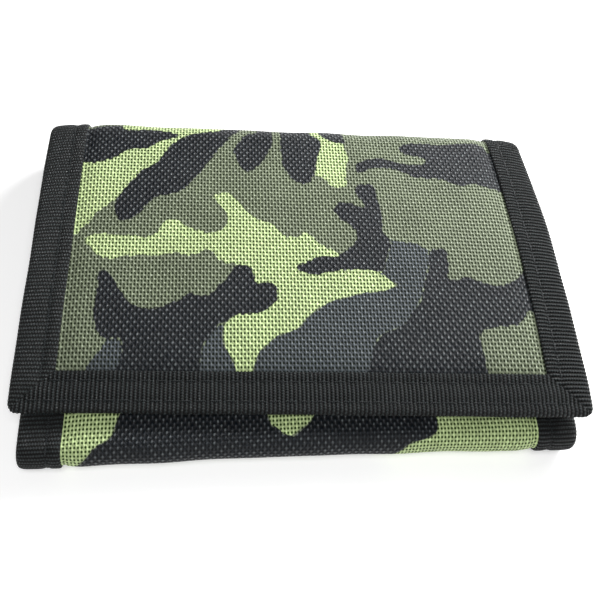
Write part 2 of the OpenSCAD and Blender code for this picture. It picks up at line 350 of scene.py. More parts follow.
def cloth_material():
    n = Nodes("camouflage_weave")
    x, y, _ = n.split(n.attribute("fab"))
    height, on_warp, i, j, over, column, corner = woven(n, x, y, CLOTH_X, CLOTH_Y)
    cell = n.join(i, j)
    jitter = n.math("SUBTRACT", n.white(cell), 0.5)
    edge = n.math("MULTIPLY", jitter, 0.55)

    def region(name):
        return n.span(n.math("ADD", n.attribute(name, "Fac"), edge), -0.16, 0.16)

    olive, light = rgb(116, 125, 101), rgb(188, 208, 148)
    navy, grey = rgb(7, 15, 23), rgb(68, 75, 79)
    colour = n.mix(region("light"), olive, light)
    colour = n.mix(region("grey"), colour, grey)
    dark = region("navy")
    colour = n.mix(dark, colour, navy)
    yarn_v = n.white(n.join(i, 3.0))
    yarn_h = n.white(n.join(7.0, j))
    yarn = n.mix(on_warp, yarn_h, yarn_v)
    shade = n.math("ADD", n.math("MULTIPLY_ADD", yarn, 0.16, 0.86), n.math("MULTIPLY", jitter, 0.16))
    wide = n.noise(n.attribute("fab"), 0.11, 2.0)
    shade = n.math("MULTIPLY", shade, n.span(wide, 0.3, 0.7, 0.93, 1.06))
    # Painted shade and highlight: dip darkens the weave's gaps at the yarn corners, hole lightens warp-over crowns and
    # darkens weft-over crossings, column darkens the edges of each lengthwise yarn, and in the navy the weft-over
    # crossings get more painted shade; the yarn, jitter and wide noise in shade are random tone.
    dip = n.span(corner, 0.4, 0.8, 1.0, 0.0)
    hole = n.span(over, -0.9, 0.9, 0.86, 1.14)
    shade = n.math("MULTIPLY", n.math("MULTIPLY", shade, hole), n.span(column, 0.1, 0.8, 0.66, 1.06))
    dip = n.math("MAXIMUM", dip, n.math("MULTIPLY", dark, n.span(over, -0.6, 0.4, 0.0, 0.6)))
    # Painted highlight: pale glints on the warp-over crowns, stronger in the navy, stand in for the yarns' sheen.
    painted_glint = n.math("MULTIPLY", n.span(over, 0.35, 0.95), n.math("MULTIPLY", n.white(n.join(j, i, 5.0)), n.math("MULTIPLY_ADD", dark, 0.09, 0.05)))
    colour = n.mix(painted_glint, colour, rgb(205, 215, 215))
    # Painted shade: the colour is multiplied down to a dark green where dip marks the weave's gaps.
    colour = n.mix(1.0, colour, n.mix(dip, (0.05, 0.09, 0.01, 1), (1, 1, 1, 1)), "MULTIPLY")
    n.link(n.mix(1.0, colour, n.join(shade, shade, shade), "MULTIPLY"), "Base Color")
    fibre = n.noise(n.join(n.math("MULTIPLY", x, 9.0), n.math("MULTIPLY", y, 3.0)), 1.0, 3.0)
    gloss = n.math("MULTIPLY", dip, n.span(over, -0.7, 0.7, 0.6, 1.0))
    n.link(n.math("MULTIPLY_ADD", gloss, n.span(fibre, 0.25, 0.75, -0.62, -0.48), 0.95), "Roughness")
    relief = n.math("ADD", n.math("MULTIPLY_ADD", dip, 0.6, n.math("MULTIPLY", column, 0.35)), n.math("MULTIPLY_ADD", fibre, 0.2, n.math("MULTIPLY", over, 0.55)))
    bump = n.bump(relief, 1.0, 0.0003)
    n.link(bump, "Normal")
    n.set(Specular_IOR_Level=0.36)
    return n.material


RIB = 0.93


def tape_material():
    n = Nodes("edge_tape_ribbed")
    x, y, _ = n.split(n.attribute("fab"))
    rib = n.math("COSINE", n.math("MULTIPLY", x, 2 * np.pi / RIB))
    i = n.math("ROUND", n.math("DIVIDE", x, RIB))
    across = n.math("COSINE", n.math("MULTIPLY", y, 2 * np.pi / 0.62))
    grain = n.math("MULTIPLY", across, n.math("COSINE", n.math("MULTIPLY", i, np.pi)))
    fuzz = n.noise(n.join(n.math("MULTIPLY", x, 5.0), n.math("MULTIPLY", y, 12.0)), 1.0, 3.0)
    # Painted shade and highlight: shade darkens the rib grooves nearly to black, lightens the rib crowns, and lightens
    # and darkens alternate yarn segments along the grain; the white noise per segment and the fuzz colour are random
    # tone.
    shade = n.math("MULTIPLY_ADD", n.white(n.join(i, n.math("ROUND", n.math("DIVIDE", y, 0.62)))), 0.5, 0.75)
    shade = n.math("MULTIPLY", n.math("MULTIPLY", shade, n.span(rib, -0.3, 0.95, 0.03, 1.25)), n.span(grain, -0.7, 0.7, 0.3, 1.2))
    colour = n.mix(n.span(fuzz, 0.3, 0.7), rgb(12, 16, 17), rgb(48, 56, 57))
    n.link(n.mix(1.0, colour, n.join(shade, shade, shade), "MULTIPLY"), "Base Color")
    height = n.math("MULTIPLY_ADD", rib, 0.55, n.math("MULTIPLY_ADD", grain, 0.3, fuzz))
    n.link(n.bump(height, 1.0, 0.00022), "Normal")
    glint = n.math("MULTIPLY", n.span(rib, -0.7, 0.9, 0.16, 1.1), n.span(grain, -0.6, 0.7, 0.35, 1.1))
    n.link(n.math("MULTIPLY_ADD", glint, n.span(fuzz, 0.3, 0.7, -0.72, -0.55), 0.97), "Roughness")
    n.set(Specular_IOR_Level=0.42)
    return n.material


def plain_cloth(name, dark, bright, pitch, rough=(0.5, 0.7), sheen=0.2):
    n = Nodes(name)
    x, y, _ = n.split(n.attribute("fab"))
    height, on_warp, i, j, over, column, corner = woven(n, x, y, pitch, pitch * 1.1)
    fuzz = n.noise(n.attribute("fab"), 3.0, 3.0)
    yarn = n.white(n.join(i, j))
    # Painted shade: the colour darkens where the weave's height is low, in its hollows; the yarn noise is random tone.
    fac = n.math("MULTIPLY", n.math("MULTIPLY_ADD", yarn, 0.4, 0.6), n.span(height, 0.3, 1.2, 0.2, 1.0))
    n.link(n.mix(fac, dark, bright), "Base Color")
    n.link(n.span(fuzz, 0.3, 0.7, *rough), "Roughness")
    n.link(n.bump(n.math("MULTIPLY_ADD", fuzz, 0.4, height), 0.7, 0.0001), "Normal")
    n.set(Sheen_Weight=sheen, Sheen_Roughness=0.4)
    return n.material


def thread_material():
    n = Nodes("sewing_thread")
    x, y, _ = n.split(n.attribute("fab"))
    # Painted shade and highlight: the twist stripes make the plies' crowns lighter and their grooves darker in the
    # colour; the same twist also drives the bump.
    twist = n.math("SINE", n.math("ADD", n.math("MULTIPLY", x, 14.0), n.math("MULTIPLY", y, 9.0)))
    n.link(n.mix(n.span(twist, -1.0, 1.0), rgb(13, 15, 16), rgb(40, 44, 46)), "Base Color")
    n.link(n.bump(twist, 0.6, 0.00005), "Normal")
    n.set(Roughness=0.5, Specular_IOR_Level=0.25)
    return n.material


def solid_material(name, dark, bright, scale, roughness, metallic=0.0, bump=0.3, **more):
    """For hard pieces: colour and wear vary with place in the object."""
    n = Nodes(name)
    spot = n.add("ShaderNodeTexCoord", out="Object")
    fine, wide = n.noise(spot, scale, 4.0), n.noise(spot, scale / 12, 2.0)
    n.link(n.mix(n.span(wide, 0.35, 0.65), dark, bright), "Base Color")
    n.link(n.span(fine, 0.3, 0.7, roughness * 0.8, roughness * 1.2), "Roughness")
    n.link(n.bump(fine, bump, 0.00005), "Normal")
    n.set(Metallic=metallic, **more)
    return n.material


CLOTH = cloth_material()
TAPE = tape_material()
THREAD = thread_material()
HOOK = solid_material("hook_nylon", rgb(14, 15, 17), rgb(30, 32, 34), 900.0, 0.35, Specular_IOR_Level=0.5)
LOOP = plain_cloth("loop_pile", rgb(10, 11, 12), rgb(42, 44, 46), 0.5, sheen=0.5)
ZIP_TAPE = plain_cloth("zip_tape_weave", rgb(10, 10, 12), rgb(38, 40, 43), 0.45)
ZIP_COIL = solid_material("zip_coil_nylon", rgb(12, 13, 14), rgb(26, 28, 30), 700.0, 0.3, Specular_IOR_Level=0.55)
METAL = solid_material("zip_metal_cast", (0.23, 0.235, 0.24, 1), (0.33, 0.335, 0.34, 1), 900.0, 0.33, metallic=1.0, bump=0.15)
VINYL = solid_material("clear_vinyl_sheet", (0.9, 0.92, 0.93, 1), (0.95, 0.96, 0.97, 1), 60.0, 0.1, bump=0.08, Transmission_Weight=0.95, IOR=1.48)
BACKING = plain_cloth("cloth_backing", rgb(20, 21, 22), rgb(34, 36, 37), 0.8, (0.35, 0.5), 0.0)
LINING = plain_cloth("lining_weave", rgb(6, 7, 8), rgb(30, 32, 35), 0.42)
POCKET = plain_cloth("pocket_weave", rgb(6, 7, 8), rgb(34, 36, 39), 0.55)

# ---------------------------------------------------------------- the print
NAVY = [
    "-60,78.5 -52.5,77.5 -50.5,78 -45.5,78.3 -44.5,76.4 -41,76.6 -37.5,77 -33.5,76.6 -31,75.8 -30.3,75.3 -31.3,74.1 -33.5,73.5 -35.5,72.7 -37.5,70.8 -39.7,70 -42.6,69.8 -44.3,68.5 -46.8,66.6 -49.7,65.3 -51.8,65 -54.5,65.6 -60,66.5 -68,68 -68,79",
    "-14,80 -18.5,79.5 -19.9,77.7 -22.2,77 -24.7,76.2 -27.2,75.4 -29.2,74.3 -31.3,72.7 -33,70.6 -34.2,68.1 -35.9,65.6 -38,63.9 -40.1,62.2 -41.3,60.2 -42.6,58.1 -44.2,55.6 -45.3,53.1 -45.5,51 -44.7,48.7 -43,47.7 -41.3,48.1 -39.2,50.2 -37.6,52.7 -35.9,54.8 -34.2,55.4 -31.8,56 -29.2,57.2 -27.2,59.3 -25.5,61.8 -23.8,64.8 -22.2,67.2 -20,70.6 -17.8,73.9 -16.2,76.2 -14.9,77.7",
    "-6.2,80.5 -6,75.2 -6.2,72.7 -7,70.6 -8.2,67.7 -9.9,65.6 -11.6,63.9 -12.6,63.6 -14,64.3 -15.1,66.4 -15.8,68.9 -16,71 -15.1,73.1 -13.7,75.2 -12,77 -9.9,77.9 -9.3,80.5",
    "-3.2,81 -3.7,76.8 -3.9,72.7 -3.7,68.5 -3.5,65.6 -2.4,63.5 -0.8,61.2 0.9,60.2 2.6,60.2 3.8,61.4 4.7,63.5 5.1,66 5.7,68.9 6.5,71.4 6.9,73.5 6.3,75.2 5.1,76.4 4.2,77.9 3.6,81",
    "7,81 6.8,78.5 7.2,77.2 8.2,75.8 10.1,74.5 12.2,74.1 13.4,74.1 13.2,76.8 12.6,79.8 12,81",
    "16,66.8 18.5,68.5 21.4,69.1 24.3,68.9 27.2,68.1 30.2,67.5 34.3,67.7 35,68.9 34.3,70 32.7,70.2 30.2,70.8 28.5,72 28.3,73.1 29.8,74.1 32.7,74.8 41,74.8 45.2,75.4 49.3,75.4 51.4,74.8 53.1,73.5 53.3,72.5 58,72 68,72 68,57 60,58.5 55,58.9 52.7,59.8 49.3,60.6 47.2,61.2 43.1,60.6 41,61.2 39.3,62.5 36.8,62.9 31.4,63.3 29.3,64.3 27.2,65.2 24.3,65.8 21.4,66 19.3,65.6 17.7,64.5 16.4,64.1 15.6,65.4",
    "15.5,60.2 17.5,60.4 19.3,60.2 20.2,58.5 20.4,56 21,52.7 20.8,49.3 20.8,46.4 21.8,44.3 22.5,42.2 21.4,39.8 20.6,37.2 19.7,35 14.7,35.2 11.3,35.2 8.4,34.8 5.5,34.1 3.4,33.7 1.3,33.9 -0.3,34.5 -1.2,35.8 0.1,36.6 2.2,37.5 3.8,38.5 5.5,38.8 8,38.7 9.7,39.5 11.3,40.6 13,42.2 14.2,43.9 14.2,45 13.6,46.8 12.2,48.1 10.1,49.8 9,51.8 9,52.7 9.7,53.9 11.3,54.5 13.4,54.1 15.5,53.3 17,53.2 15.7,56 15,58",
    "31.6,39.8 32.2,40.8 33.9,41.3 35.4,41.2 36.2,40 36.2,38 35.8,35.6 35.6,33.5 36.8,32.7 38,32.9 39.8,33.6 41.8,33.3 43.9,32.2 46,31.4 48,31.4 50.2,32 52.2,33.3 53.5,34.5 54.8,36 60,40 68,44 68,25 60,25 56,24.3 55.2,25 53.7,24.8 52.9,23.3 51.4,21.8 49.3,21 46,21 44.3,20.6 42,20 41.2,18.5 41,16 41.4,13.5 41.6,11.4 41,5 15.7,5 15.7,15 16.8,17.2 18.5,18.9 21.4,20 23.9,21.4 25.4,23.9 27.2,26 28.5,28.5 29.3,31.4 30.2,33.9 31,36.8",
    "-47.8,33.9 -47,34.4 -45.9,33.9 -44.7,31.8 -43.4,29.8 -41.8,27.5 -40.1,25.8 -38,24.8 -35.5,24.4 -33,25 -30.5,26 -28,27.5 -26.5,28.3 -25.1,27.9 -23.4,27.7 -21.3,28.7 -19.9,30.5 -18.2,32.2 -16.6,34.8 -15.8,35.8 -14.3,36.2 -12.6,35.6 -11.8,33.9 -11.2,31.8 -10.5,30.8 -9.5,31.4 -8.2,31.6 -7,31 -6.2,29.3 -6.2,27.7 -7,26 -8.7,24.5 -10.3,23.7 -12.8,23.3 -15.3,23.1 -17,22.5 -18.2,21.2 -20,20.6 -21.3,18.9 -23,16.4 -23.8,13.9 -24.2,10.6 -24.5,5 -42,5 -41.5,14 -42.5,17 -45.1,16.8 -47,18.3 -48,20.2 -48.6,22.7 -48.4,25.2 -48.1,28.5 -48,31.8",
]
GREY = [
    "-45,16.8 -42.5,17 -41.5,14 -42,5 -51,5 -49,10.6 -48,12.2 -45.9,15",
    "-18.9,20.5 -20,20.6 -21.3,18.9 -23,16.4 -23.8,13.9 -24.2,10.6 -24.5,5 -16.5,5 -16.2,10.2 -17,12.5 -18.2,14.5 -18.9,16.8 -18.9,19.3",
    "-12,10.2 -11.2,12.7 -9.9,14.8 -8.2,16.2 -7,17.5 -4.9,18.5 -2.4,19.3 -0.8,20.6 0.9,22.7 3,24.5 5.5,26 8,27.2 11.3,28.1 14.2,28.9 18.9,29.5 21.4,30.4 22.7,31.2 22.2,31.6 20.6,33.1 18.9,34.5 19.7,35 20.6,37.2 21.4,39.8 22.5,42.2 22,43.7 24.3,43.2 26.8,43 28.9,42.5 30.6,41.4 31.6,40.6 31.4,39.3 31,36.8 30.2,33.9 29.3,31.4 28.5,28.5 27.2,26 25.4,23.9 23.9,21.4 21.4,20 18.5,18.9 16.8,17.2 15.7,15 15.7,5 -12.5,5",
]
LIGHT = [
    "-68,44 -60,44 -54.2,44.3 -53.4,44.8 -51.3,47.2 -49.7,49.8 -47.6,51.8 -45.1,54.3 -40,60 -34,67 -29,74.5 -24,76 -19,78 -18,81 -45,81 -44.5,77 -50,72 -60,70 -68,68",
    "-52,42 -50.5,43.7 -47.6,44.1 -43.4,43.9 -40,43.5 -37.2,43.3 -35,44.3 -34,46.2 -33,48.1 -31.8,48.5 -30,48.1 -28,46.8 -25,45.4 -22.6,44.8 -19.9,45.2 -18.2,46.8 -17.8,49.3 -18.7,51.8 -20.3,53.5 -21.2,55.2 -20.8,56 -19.5,56.6 -17.4,56.6 -15.8,55.2 -14.3,53.1 -12.8,50.8 -11.2,49.5 -9,48.5 -6.6,47.5 -5.3,46 -4,44.4 -2.4,44 -0.3,44.3 1.3,45.2 3,43.9 4.7,42.3 7.2,40.6 9.7,39.5 12,37 19,35 20.6,33.1 22.2,31.6 22.7,31.2 21.4,30.4 18.9,29.5 14.2,28.9 11.3,28.1 8,27.2 5.5,26 3,24.5 0.9,22.7 -0.8,20.6 -2.4,19.3 -4.9,18.5 -7,17.5 -8.2,16.2 -9.9,14.8 -11.2,12.7 -12,10.2 -12.5,5 -16.5,5 -16.2,10.2 -17,12.5 -18.2,14.5 -18.9,16.8 -18.9,19.3 -18.2,21.2 -15,24 -12,30 -15.8,36 -17.4,36.2 -19.1,36.8 -20.8,38.1 -21.8,39.8 -23.4,39.8 -25.1,39.1 -27.2,38.4 -29.7,39.1 -32.2,38.7 -34.7,38.2 -37.2,38.5 -40.1,38.3 -43.4,37.7 -46.3,37.3 -48.8,38.3 -50.5,40.2",
    "3.6,81 4.2,77.9 5.1,76.4 6.9,73.5 5.7,68.9 5.1,66 4.7,63.5 5.3,62.7 6.8,62.2 7.6,61 8.8,59.8 10.5,59.1 12.4,59.3 12.8,61.4 12.8,64.3 13.4,67.2 14.2,69.3 13.4,71.4 13,73.9 10.1,74.5 8.2,75.8 7.2,77.2 6.8,78.5 7,81",
]
# Shapes at the bottom fold, measured across and from the front of the fold towards the inner panel.
LOW_LIGHT = [
    "-68,14 -42,14 -42.5,3 -43.5,0.5 -46.5,-1.5 -48.5,-4 -50.5,-6.5 -51.5,-9 -53,-12 -68,-12",
    "-10,13 -8.5,3 -7,1 -5,-0.5 -3.5,-1 -2,0 1,2.5 3,8 2,13",
    "30,13 30,2 29.5,-1 27,-2.5 23.5,-3.5 21,-6 19.5,-9 18,-13 68,-13 68,13",
]
LOW_NAVY = [
    "-68,18 68,17 68,-8 30,-9 10,-8.5 -15,-9.5 -50,-8.5 -68,-9",
]


def shape(text):
    p = np.array([[float(v) for v in q.split(",")] for q in text.split()])
    return np.where(np.array([0, 1]) * (p[:, 1:] > 79.5), 79.5 + (p - 79.5) * 4.5, p) if p[:, 1].max() > 60 else p


def rounded(p, steps=5):
    """A closed curve through the points."""
    out = []
    for k in range(len(p)):
        a, b, c, d = p[k - 1], p[k], p[(k + 1) % len(p)], p[(k + 2) % len(p)]
        for t in np.arange(steps) / steps:
            out.append(0.5 * (2 * b + (c - a) * t + (2 * a - 5 * b + 4 * c - d) * t ** 2 + (3 * b - a - 3 * c + d) * t ** 3))
    return np.array(out)


def signed(points, polygons, reach=4.0):
    """Distance in mm into the union of the polygons; negative outside."""
    best = np.full(len(points), -reach)
    for poly in polygons:
        near = np.flatnonzero(((points > poly.min(0) - reach) & (points < poly.max(0) + reach)).all(1))
        for part in np.array_split(near, max(1, len(near) // 4000)):
            if not len(part):
                continue
            p = points[part][:, None]
            a, b = poly[None], np.roll(poly, -1, 0)[None]
            e, w = b - a, p - a
            t = np.clip((w * e).sum(-1) / ((e * e).sum(-1) + 1e-12), 0, 1)
            dist = np.sqrt(((w - e * t[..., None]) ** 2).sum(-1).min(1))
            cross = ((a[..., 1] > p[..., 1]) != (b[..., 1] > p[..., 1]))
            with np.errstate(divide="ignore", invalid="ignore"):
                at = a[..., 0] + (p[..., 1] - a[..., 1]) / (e[..., 1] + 1e-12) * e[..., 0]
            inside = (cross & (p[..., 0] < at)).sum(1) % 2 == 1
            best[part] = np.maximum(best[part], np.where(inside, dist, -dist))
    return np.clip(best, -reach, reach)


ROUND = {name: [rounded(shape(t)) for t in texts] for name, texts in (("navy", NAVY), ("grey", GREY), ("light", LIGHT))}
LOW = {"light": [rounded(shape(t)) for t in LOW_LIGHT], "navy": [rounded(shape(t)) for t in LOW_NAVY]}


def camouflage(x, s):
    """The print's three colour distances at cloth points (x, s), for the whole outer face."""
    x, s = x.ravel(), s.ravel()
    out = {}
    turn = s > 86
    wave = 5 * np.sin(x / 9 + 0.5) + 3 * np.sin(x / 4.3 + 2)
    third = s > 148 + wave
    low = (s > S_LOW - 8 + 0.6 * wave) & (s < S_INNER + 15 + 0.3 * wave)
    drift = np.clip((s - 86) / 26, 0, 1)
    warped_x = x + drift * (11 * np.sin(s / 8.5 + 1) + 4 * np.sin(s / 3.9 + x / 11))
    warped_s = 172 - s + drift * (5 * np.sin(x / 10 + 1.5) + 3 * np.sin(x / 5.1))
    points = np.stack([np.where(turn & ~third, warped_x, x), np.where(third, s - 146, np.where(turn, warped_s, s))], -1)
    for name, polygons in ROUND.items():
        out[name] = signed(points, polygons)
    near = np.stack([x, s - S_INNER], -1)
    light, navy = signed(near, LOW["light"]), signed(near, LOW["navy"])
    out["light"] = np.where(low, light, out["light"])
    out["navy"] = np.where(low, np.minimum(navy, -light), out["navy"])
    out["grey"] = np.where(low, -4.0, out["grey"])
    return out


# ---------------------------------------------------------------- outer cloth
SPLITS = {"flap": (0.5, S_TOP), "back_top": (S_TOP, S_MID), "back_bottom": (S_MID, S_BOT), "inner": (S_BOT, S_END - 0.5)}


def bend(obj, part):
    """Makes a piece follow its panel's body (on_flap and on_inner follow the flap and the inner panel); the flap's and
    the inner panel's own cloth, and pieces of no body, stay fixed where they are.
    """
    if part in frame["bodies"] and part not in ("flap", "inner"):
        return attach(obj, part)
    if part in ("on_flap", "on_inner"):
        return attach(obj, part[3:])
    if part in ("flap", "inner"):
        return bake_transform(obj)
    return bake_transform(obj)


def run_of(part, y):
    """Length along the outer face of a place y on a panel."""
    y = np.asarray(y, float)
    if part == "on_flap":
        return (y - FRONT_Y) * LF / (Y1 - FRONT_Y)
    if part == "back":
        return S_BACK + (Y1 - y)
    return S_INNER + (y - Y2)


def depth_of(part, z):
    """Depth below the outer face of a height z on the closed back or inner panel."""
    return z if part == "back" else mm_box("inner_binding_left")[1][2] - z


def rows(a, b, step, fine):
    """Lengths from a to b, closer together round the folds."""
    s = [a]
    while s[-1] < b:
        here = s[-1]
        folded = LF - 1 < here < S_BACK + 1 or S_LOW - 1 < here < S_INNER + 1
        s.append(here + (fine if folded else step))
    s = np.array(s)
    return a + (s - a) * (b - a) / (s[-1] - a)


def snap(values, targets):
    """Moves the nearest values onto the targets and gives their places in the list."""
    values, found = values.copy(), []
    for target in targets:
        k = int(np.argmin(np.abs(values - target)))
        values[k] = target
        found.append(k)
    return values, found


zip_low, zip_high = mm_box("zip_coils")
ZIP_Y = (zip_low[1] + zip_high[1]) / 2
ZIP_HALF, ZIP_OPEN = zip_high[0], 4.0
outer_cloth = {}
for part, (a, b) in SPLITS.items():
    s = rows(a, b, 0.75, 0.42)
    e = np.linspace(-1, 1, 171)
    hole = None
    if part == "inner":
        s, (r0, r1) = snap(s, run_of("on_inner", [ZIP_Y - ZIP_OPEN, ZIP_Y + ZIP_OPEN]))
        e, (c0, c1) = snap(e, [-ZIP_HALF / 61.8, ZIP_HALF / 61.8])
        hole = (r0, r1, c0, c1)
    s = s[:, None]
    hw = half_width(s) - 0.6
    x = e[None] * hw
    s2 = s + 0 * x
    rim = np.minimum.reduce([hw - np.abs(x), s2, S_END - s2])
    depth = np.interp(rim, [0, TAPE_W - 0.7, TAPE_W, TAPE_W + 0.5, TAPE_W + 3.5], [0.55, 0.55, 0.8, 0.45, 0.06])
    if hole:
        off = np.maximum(np.abs(x) - ZIP_HALF, np.abs(s2 - run_of("on_inner", ZIP_Y)) - ZIP_OPEN)
        depth = depth + np.interp(off, [0, 0.6, 1.6, 2.2, 2.8], [0.5, 0.1, 0.06, 0.16, 0.0])
    top, bottom = place(x, s2, depth), place(x, s2, 1.4)
    points, faces = slab(top, bottom, hole)
    dist = camouflage(x, s2)
    fab = np.stack([x.ravel(), s2.ravel(), 0 * x.ravel()], -1)
    attributes = {"fab": np.concatenate([fab, fab])}
    for key, value in dist.items():
        attributes[key] = np.concatenate([value, value])
    obj = make(f"{part}_outer_cloth", points, faces, CLOTH, attributes)
    obj.data.materials.append(BACKING)
    inside = 2 * (x.shape[0] - 1) * (x.shape[1] - 1) - (2 * (r1 - r0) * (c1 - c0) if hole else 0)
    obj.data.polygons.foreach_set("material_index", [int(inside // 2 <= k < inside) for k in range(len(obj.data.polygons))])
    outer_cloth[part] = (bend(obj, part), b - a)

# ---------------------------------------------------------------- edge tape
RING = np.array([
    (9.5, .52), (9.48, .3), (9.3, .1), (8.9, .02), (8.1, .0), (7.4, .05), (6.8, .2), (6.4, .32), (6.0, .2), (5.3, .04), (4.4, .0),
    (3.2, .0), (2.0, .02), (1.1, .1), (.45, .35), (.1, .75), (.0, 1.25), (.1, 1.75), (.45, 2.2), (1.1, 2.43), (2.2, 2.5), (4.4, 2.5),
    (6.0, 2.46), (6.4, 2.38), (6.8, 2.46), (8.1, 2.5), (9.0, 2.5), (9.4, 2.42), (9.5, 2.2), (9.5, 2.02), (8.8, 1.98), (5, 1.98), (1.1, 1.95),
    (.65, 1.7), (.52, 1.25), (.65, .8), (1.1, .55), (5, .52)])
OUT = np.concatenate([np.ones(29), np.zeros(9)])
FRONT_RING = RING.copy()
FRONT_RING[:13] = [(9.5, .52), (9.48, .3), (9.3, .08), (8.7, .0), (8.0, .06), (7.6, .2), (7.2, .32), (6.8, .2), (6.1, .03), (4.9, -.1), (3.5, .06), (2.7, .3), (1.9, .12)]


def ring_for(total, width=TAPE_W, front=False):
    """The tape's cross-section round layers of a total thickness."""
    ring = (FRONT_RING if front else RING).copy()
    shift = total - 2.5
    ring[:, 1] += np.interp(ring[:, 1], [0.6, 1.9], [0, shift])
    ring[:, 0] *= np.interp(ring[:, 0], [0, 1.5, 9.5], [1, 1, width / 9.5])
    return ring


def side_tape(name, part, side, a, b, total=2.5, width=TAPE_W, edge=half_width, offset=0.0, mitre_a=False, mitre_b=False, pitch=RIB):
    """A folded tape along one side, from length a to b."""
    ring = ring_for(total, width)
    s = np.arange(a, b + pitch / 12, pitch / 6)
    s[-1] = b
    s = s[:, None]
    d_edge, depth = ring[None, :, 0], ring[None, :, 1]
    s2 = s + 0 * d_edge
    if mitre_a:
        s2 = np.maximum(s2, a + d_edge)
    if mitre_b:
        s2 = np.minimum(s2, b - d_edge)
    rib = 0.085 * np.cos(2 * np.pi * s2 / pitch) * OUT
    wave = 0.12 * np.sin(s2 / 7.1 + side) + 0.08 * np.sin(s2 / 3.3)
    flat = np.abs(depth - total / 2) > 0.3
    x = side * (edge(s2) - d_edge + wave * (d_edge < 3) * 0.6)
    tuck = 0.35 * np.clip(1 - (s2 - a - d_edge) / 1.3, 0, 1) * (depth < 0.5) * mitre_a
    points = place(x + side * rib * ~flat, s2, offset + depth + tuck - rib * np.sign(total / 2 - depth) * flat)
    mesh, faces, first = sweep(points)
    fab = np.stack([s2.ravel(), (d_edge + 0 * s2).ravel(), 0 * s2.ravel()], -1)[first]
    return bend(make(name, mesh, faces, TAPE, {"fab": fab}), part)


def cross_tape(name, part, base, direction, total=2.5, width=TAPE_W, front=False, x0=None, x1=None, offset=0.0):
    """A folded tape across a panel. Without x0 and x1 it runs to both side tapes, with mitred ends."""
    ring = ring_for(total, width, front)
    mitred = x0 is None
    if mitred:
        x1 = float(half_width(base))
        x0 = -x1
    w = np.arange(x0, x1 + RIB / 12, RIB / 6)
    w[-1] = x1
    w = w[:, None]
    d_edge, depth = ring[None, :, 0], ring[None, :, 1]
    s = base + direction * d_edge + 0 * w
    x = w + 0 * s
    if mitred:
        lim = half_width(s) - d_edge
        x = np.clip(x, -lim, lim)
    rib = 0.085 * np.cos(2 * np.pi * x / RIB) * OUT
    flat = np.abs(depth - total / 2) > 0.3
    s2 = s - direction * (rib + 0.1 * np.sin(x / 6.3)) * ~flat
    points = place(x, s2, offset + depth - rib * np.sign(total / 2 - depth) * flat)
    mesh, faces, first = sweep(points)
    fab = np.stack([x.ravel(), (d_edge + 0 * w).ravel(), 0 * x.ravel()], -1)[first]
    return bend(make(name, mesh, faces, TAPE, {"fab": fab}), part)


SHELL_ONLY = 1.9
INNER_T = 3.7
MOUTH_W, MOUTH_T = 5.0, 1.3
MOUTH_X = {"flap": 53.0, "back_top": 53.0, "back_bottom": 52.5, "inner": 52.0}
for part, (a, b) in {"flap": (0, S_TOP), "back_top": (S_TOP, S_MID), "back_bottom": (S_MID, S_BOT), "inner": (S_BOT, S_END)}.items():
    mitres = {"mitre_a": part == "flap", "mitre_b": part == "inner"}
    total = INNER_T if part == "inner" else 2.5
    left = total if part != "inner" else 2.9
    side_tape(f"{part}_left_tape", part, -1, a, b, total=left, **mitres)
    side_tape(f"{part}_right_tape", part, 1, a, b, total=SHELL_ONLY, **mitres)
    stop = (9.6 if part == "flap" else a, S_END - 9.6 if part == "inner" else b)
    side_tape(f"{part}_mouth_tape", part, 1, *stop, total=MOUTH_T, width=MOUTH_W, offset=1.42 - 0.2,
                                     edge=lambda s, p=part: MOUTH_X[p] + 0 * s)
cross_tape("flap_front_tape", "flap", 0.0, 1, front=True)
cross_tape("inner_end_tape", "inner", S_END, -1, total=2.9)

# ---------------------------------------------------------------- lining
linings = {}
for part, (a, b) in SPLITS.items():
    s = rows(a, b, 1.5, 0.7)[:, None]
    left, right = -(half_width(s) - 0.8), MOUTH_X[part] - 0.6
    x = left + (right - left) * np.linspace(0, 1, 101)[None]
    s2 = s + 0 * x
    lift = (1.2 if part == "inner" else 0.0) * np.clip((s2 - S_INNER) / 6, 0, 1) * np.clip((S_END - s2) / 12, 0, 1)
    lift = lift * np.clip(np.minimum(x - left, right - x) / 9, 0, 1)
    wrinkle = 0.1 * np.sin(x / 5.1 + s2 / 11) * np.sin(s2 / 6.2)
    top, bottom = place(x, s2, 1.46 + lift), place(x, s2, 1.86 + lift + 0.5 * wrinkle)
    points, faces = slab(top, bottom)
    fab = np.stack([x.ravel(), s2.ravel(), 0 * x.ravel()], -1)
    obj = make(f"{part}_lining_cloth", points, faces, LINING, {"fab": np.concatenate([fab, fab])})
    linings[part] = (bend(obj, part), b - a)


